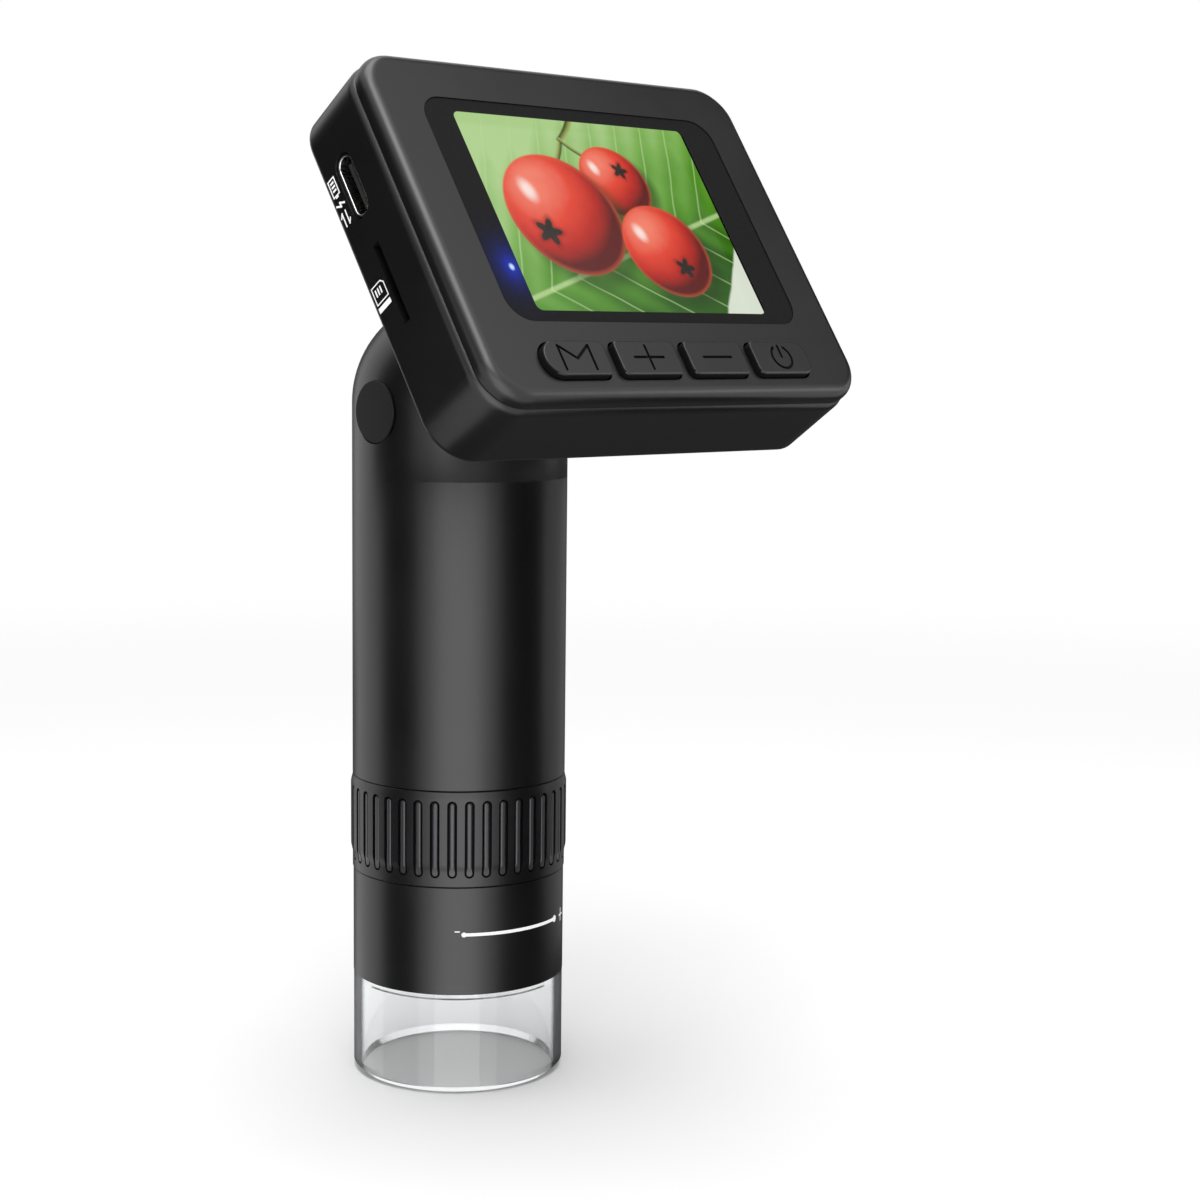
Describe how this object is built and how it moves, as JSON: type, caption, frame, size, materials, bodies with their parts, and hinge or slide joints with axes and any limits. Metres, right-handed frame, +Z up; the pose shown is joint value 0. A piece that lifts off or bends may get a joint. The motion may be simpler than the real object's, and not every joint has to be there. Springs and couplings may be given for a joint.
{
  "type": "lcd digital microscope",
  "caption": "Handheld microscope: round handle with clear specimen hood and ribbed focus ring, and a hinged screen head with a row of buttons, side socket and card slot.",
  "frame": {"origin": "centre of the clear hood's open foot, on the surface that it stands on", "axes": "+Z up the handle's axis, -Y is the way the screen faces (leaning back), +X to the right seen from the screen's side"},
  "size_m": [0.0662, 0.0637, 0.1425],
  "materials": {
    "shell_plastic": "satin",
    "ring_plastic": "satin",
    "button_plastic": "satin",
    "inner_plastic": "matte",
    "clear_plastic": "gloss",
    "window_plastic": "gloss",
    "frosted_plastic": "satin",
    "light_pipe_plastic": "gloss",
    "panel_glass": "gloss",
    "lens_glass": "gloss",
    "white_plastic": "satin",
    "circuit_board": "satin",
    "chip_plastic": "matte",
    "lamp_plastic": "gloss",
    "status_lamp_plastic": "gloss",
    "ribbon_film": "satin",
    "steel": "satin",
    "socket_steel": "satin",
    "nickel": "satin",
    "cell_can": "satin",
    "washer_plastic": "matte"
  },
  "bodies": {
    "handle": {"barrel_tube": "shell_plastic", "guide_sleeve": "inner_plastic", "lower_barrel": "shell_plastic", "lamp_board": "circuit_board", "lamps": "lamp_plastic", "light_diffuser": "frosted_plastic", "sensor_board": "circuit_board", "image_sensor": "chip_plastic", "camera_ribbon": "ribbon_film", "power_board": "circuit_board", "battery_cell": "cell_can", "battery_tabs": "nickel", "battery_cradle": "inner_plastic", "hinge_pin": "steel", "friction_washers": "washer_plastic", "spring_washer": "steel", "hinge_nut": "steel", "hinge_cap_left": "shell_plastic", "hinge_cap_right": "shell_plastic"},
    "lens": {"lens_carrier": "inner_plastic", "objective_lens": "lens_glass", "rear_lens": "lens_glass", "lens_retainer": "inner_plastic"},
    "focus": {"focus_ring": "ring_plastic"},
    "hood": {"clear_hood": "clear_plastic"},
    "head": {"rear_case": "shell_plastic", "front_bezel": "shell_plastic", "display_window": "window_plastic", "picture_panel": "panel_glass", "panel_backlight": "white_plastic", "panel_frame": "white_plastic", "panel_ribbon": "ribbon_film", "main_board": "circuit_board", "board_screws": "steel", "board_chips": "chip_plastic", "usb_shell": "socket_steel", "usb_tongue": "chip_plastic", "card_socket": "socket_steel", "case_screws": "steel", "button_switches": "nickel", "status_lamp": "status_lamp_plastic", "status_light_pipe": "light_pipe_plastic"},
    "mode_key": {"mode_button": "button_plastic"},
    "plus_key": {"plus_button": "button_plastic"},
    "minus_key": {"minus_button": "button_plastic"},
    "power_key": {"power_button": "button_plastic"}
  },
  "joints": [
    {"name": "head_tilt", "type": "hinge", "parent": "handle", "child": "head", "pos_m": [0, 0, 0.09637], "axis": [-1, 0, 0], "range_deg": [-34.4, 55.6]},
    {"name": "focus_turn", "type": "hinge", "parent": "handle", "child": "focus", "pos_m": [0, 0, 0.0368], "axis": [0, 0, 1], "range_deg": [-80, 80]},
    {"name": "lens_slide", "type": "slide", "parent": "handle", "child": "lens", "axis": [0, 0, 1], "range_m": [-0.003, 0.003]},
    {"name": "hood_pull", "type": "slide", "parent": "handle", "child": "hood", "axis": [0, 0, -1], "range_m": [0, 0.0032]},
    {"name": "mode_press", "type": "slide", "parent": "head", "child": "mode_key", "axis": [0, 0.8251, -0.565], "range_m": [0, 0.0004], "stiffness_N_per_m": 200, "springref_m": -0.0005},
    {"name": "plus_press", "type": "slide", "parent": "head", "child": "plus_key", "axis": [0, 0.8251, -0.565], "range_m": [0, 0.0004], "stiffness_N_per_m": 200, "springref_m": -0.0005},
    {"name": "minus_press", "type": "slide", "parent": "head", "child": "minus_key", "axis": [0, 0.8251, -0.565], "range_m": [0, 0.0004], "stiffness_N_per_m": 200, "springref_m": -0.0005},
    {"name": "power_press", "type": "slide", "parent": "head", "child": "power_key", "axis": [0, 0.8251, -0.565], "range_m": [0, 0.0004], "stiffness_N_per_m": 200, "springref_m": -0.0005}
  ],
  "couplings": [
    {"joint": "lens_slide", "follows": "focus_turn", "m_per_rad": -0.0021486}
  ]
}
